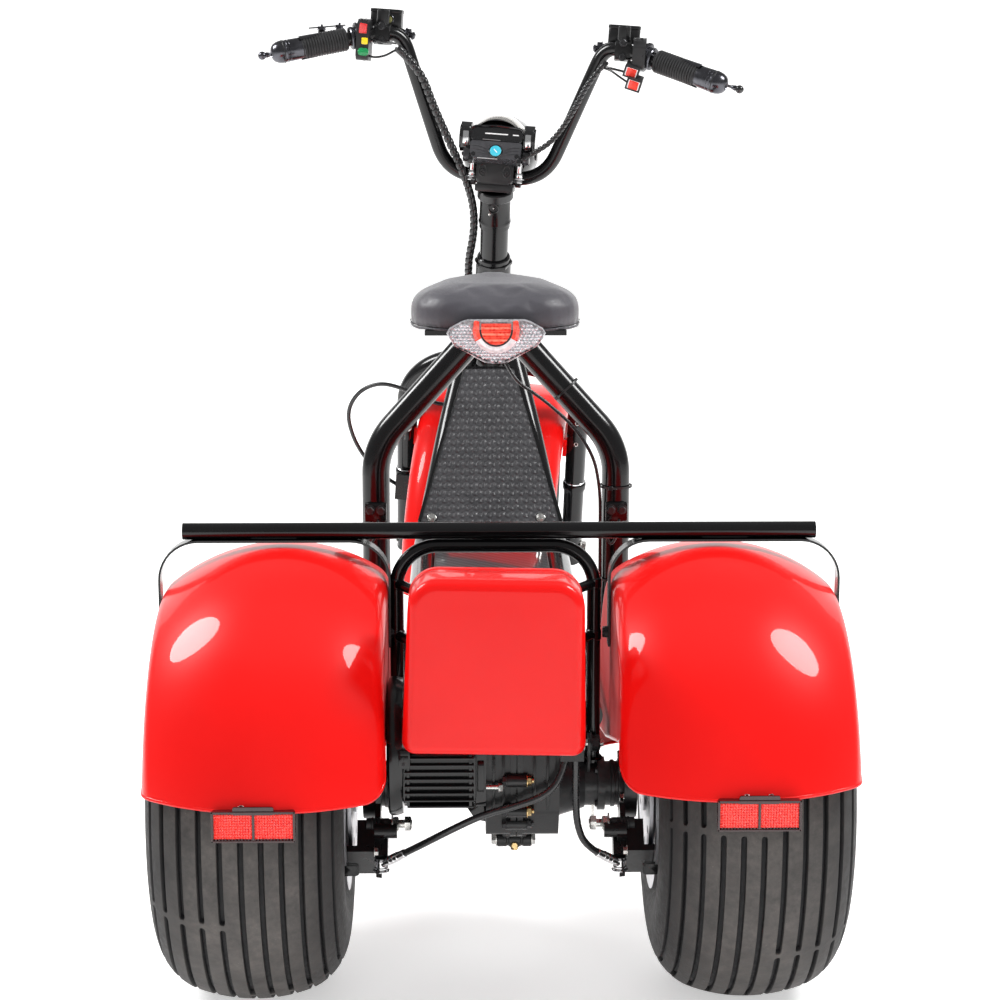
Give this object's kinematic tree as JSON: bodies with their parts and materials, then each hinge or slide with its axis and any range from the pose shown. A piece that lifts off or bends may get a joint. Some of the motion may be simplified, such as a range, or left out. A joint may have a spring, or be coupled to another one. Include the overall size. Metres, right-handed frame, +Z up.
{
  "type": "electric three-wheel scooter",
  "caption": "Three-wheel electric scooter with fat tyres, red rear fenders and tail box, arched seat frame, flat footboard and raised handlebar; it steers and rolls.",
  "frame": {"origin": "on the ground under the middle of the overall box", "axes": "+X to the right of the rider, +Y forward, +Z up"},
  "size_m": [0.732, 1.8015, 1.0787],
  "materials": {
    "tyre": "matt moulded rubber",
    "rim": "satin cast alloy",
    "frame_black": "gloss black powder coat",
    "panel_red": "gloss red lacquer",
    "board_black": "textured black sheet",
    "case_black": "satin black moulding",
    "seat_cover": "soft grained black cover",
    "lens_clear": "clear moulded lens",
    "lens_red": "red prismatic reflector",
    "lamp_shell": "bright shell",
    "cast_black": "satin black painted casting",
    "grip_rubber": "ribbed rubber",
    "fitting_steel": "zinc plated",
    "hose_rubber": "smooth black hose",
    "loom_wrap": "black spiral wrap"
  },
  "bodies": {
    "frame": {"axle_housing": "cast_black", "battery_box": "case_black", "brake_hose_left": "hose_rubber", "brake_hose_right": "hose_rubber", "drive_motor": "cast_black", "fender_straps": "frame_black", "footboard": "board_black", "frame_crossbars": "frame_black", "frame_rail_left": "frame_black", "frame_rail_right": "frame_black", "front_panel": "board_black", "gearbox": "cast_black", "head_tube": "frame_black", "hose_fittings": "fitting_steel", "hose_tee": "fitting_steel", "rear_calipers": "cast_black", "rear_cross_bar": "frame_black", "rear_fender_left": "panel_red", "rear_fender_right": "panel_red", "rear_hoop": "frame_black", "rear_reflectors": "lens_red", "seat": "seat_cover", "seat_base": "case_black", "seat_tubes": "frame_black", "tail_box": "panel_red", "tail_box_arms": "frame_black", "tail_light": "lens_clear", "tail_light_bracket": "frame_black", "tail_light_lead": "hose_rubber"},
    "steering": {"steering_stem": "frame_black", "bar_clamp": "frame_black", "fork": "frame_black", "front_fender": "panel_red", "handlebar": "frame_black", "display_unit": "case_black", "headlight": "lamp_shell", "grips": "grip_rubber", "brake_controls": "cast_black", "switch_pods": "case_black", "front_caliper": "cast_black", "front_brake_hose": "hose_rubber", "cable_loom_left": "loom_wrap", "cable_loom_right": "loom_wrap"},
    "front_wheel": {"front_tyre": "tyre", "front_rim": "rim"},
    "rear_wheel_left": {"rear_tyre_left": "tyre", "rear_rim_left": "rim"},
    "rear_wheel_right": {"rear_tyre_right": "tyre", "rear_rim_right": "rim"}
  },
  "joints": [
    {"name": "steering", "type": "hinge", "parent": "frame", "child": "steering", "pos_m": [0.00304, 0.4675, 0.54497], "axis": [0.019, -0.4226, 0.9061], "range_deg": [-28.5, 41.5]},
    {"name": "front_wheel_spin", "type": "hinge", "parent": "steering", "child": "front_wheel", "pos_m": [0.0018, 0.66722, 0.22859], "axis": [0.9924, -0.1026, -0.0686], "continuous": true},
    {"name": "rear_wheel_left_spin", "type": "hinge", "parent": "frame", "child": "rear_wheel_left", "pos_m": [-0.258, -0.6325, 0.228], "axis": [1, 0, 0], "continuous": true},
    {"name": "rear_wheel_right_spin", "type": "hinge", "parent": "frame", "child": "rear_wheel_right", "pos_m": [0.258, -0.6325, 0.228], "axis": [1, 0, 0], "continuous": true}
  ]
}
